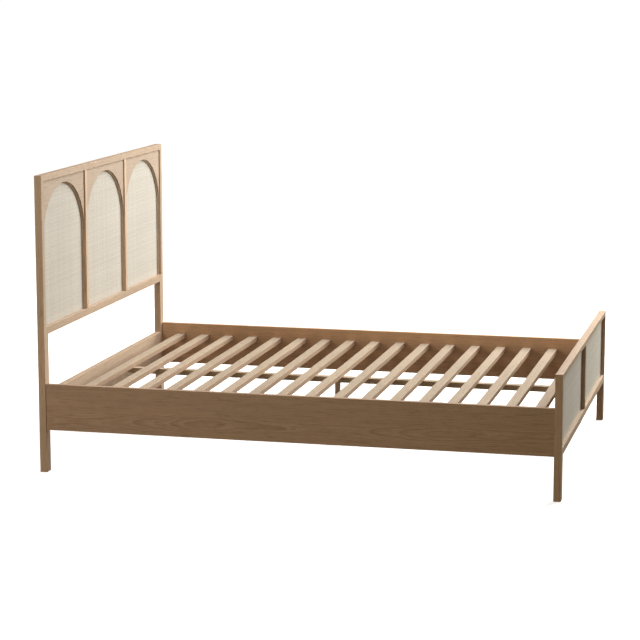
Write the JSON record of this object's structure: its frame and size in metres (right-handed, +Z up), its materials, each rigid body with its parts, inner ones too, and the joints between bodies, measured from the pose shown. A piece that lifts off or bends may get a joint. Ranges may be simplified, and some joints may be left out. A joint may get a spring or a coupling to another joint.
{
  "type": "double bed frame",
  "caption": "Wooden slatted double bed frame with a tall headboard of three arched woven panels and a low footboard with woven panels.",
  "frame": {"origin": "on the floor, at the centre of the footprint (bottom centre of the bounding box)", "axes": "+X across the bed to its right side, with X = 0 the plane of symmetry; +Y from the footboard to the headboard; +Z up"},
  "size_m": [1.556, 2.1, 1.197],
  "materials": {
    "oak_frame": "light natural oak, matt clear lacquer",
    "backing_board": "oak-veneered board",
    "woven_sheet": "close woven natural fibre, cream, uncoated",
    "slat_wood": "planed solid wood, uncoated",
    "zinc_plated_steel": "zinc plated",
    "glide_plastic": "dark matt plastic"
  },
  "bodies": {
    "root": {"head_post_left": "oak_frame", "head_post_right": "oak_frame", "head_top_rail": "oak_frame", "head_bottom_rail": "oak_frame", "head_cross_rail": "oak_frame", "head_mullion_left": "oak_frame", "head_mullion_right": "oak_frame", "head_arch_board_left": "oak_frame", "head_arch_board_centre": "oak_frame", "head_arch_board_right": "oak_frame", "head_arch_bead_left": "oak_frame", "head_arch_bead_centre": "oak_frame", "head_arch_bead_right": "oak_frame", "foot_post_left": "oak_frame", "foot_post_right": "oak_frame", "foot_top_rail": "oak_frame", "foot_bottom_rail": "oak_frame", "foot_cross_rail": "oak_frame", "foot_mullion": "oak_frame", "side_rail_left": "oak_frame", "side_rail_right": "oak_frame", "head_backing_board": "backing_board", "foot_backing_board": "backing_board", "head_woven_sheet": "woven_sheet", "foot_woven_sheet": "woven_sheet", "slat_01": "slat_wood", "slat_02": "slat_wood", "slat_03": "slat_wood", "slat_04": "slat_wood", "slat_05": "slat_wood", "slat_06": "slat_wood", "slat_07": "slat_wood", "slat_08": "slat_wood", "slat_09": "slat_wood", "slat_10": "slat_wood", "slat_11": "slat_wood", "slat_12": "slat_wood", "slat_13": "slat_wood", "slat_14": "slat_wood", "slat_15": "slat_wood", "slat_16": "slat_wood", "slat_17": "slat_wood", "centre_beam": "slat_wood", "centre_leg": "slat_wood", "centre_leg_stud": "zinc_plated_steel", "corner_bracket_head_left": "zinc_plated_steel", "corner_bracket_head_right": "zinc_plated_steel", "corner_bracket_foot_left": "zinc_plated_steel", "corner_bracket_foot_right": "zinc_plated_steel", "bracket_bolt_head_left_end": "zinc_plated_steel", "bracket_bolt_head_left_rail": "zinc_plated_steel", "bracket_bolt_head_right_end": "zinc_plated_steel", "bracket_bolt_head_right_rail": "zinc_plated_steel", "bracket_bolt_foot_left_end": "zinc_plated_steel", "bracket_bolt_foot_left_rail": "zinc_plated_steel", "bracket_bolt_foot_right_end": "zinc_plated_steel", "bracket_bolt_foot_right_rail": "zinc_plated_steel", "centre_leg_glide": "glide_plastic"}
  },
  "joints": []
}
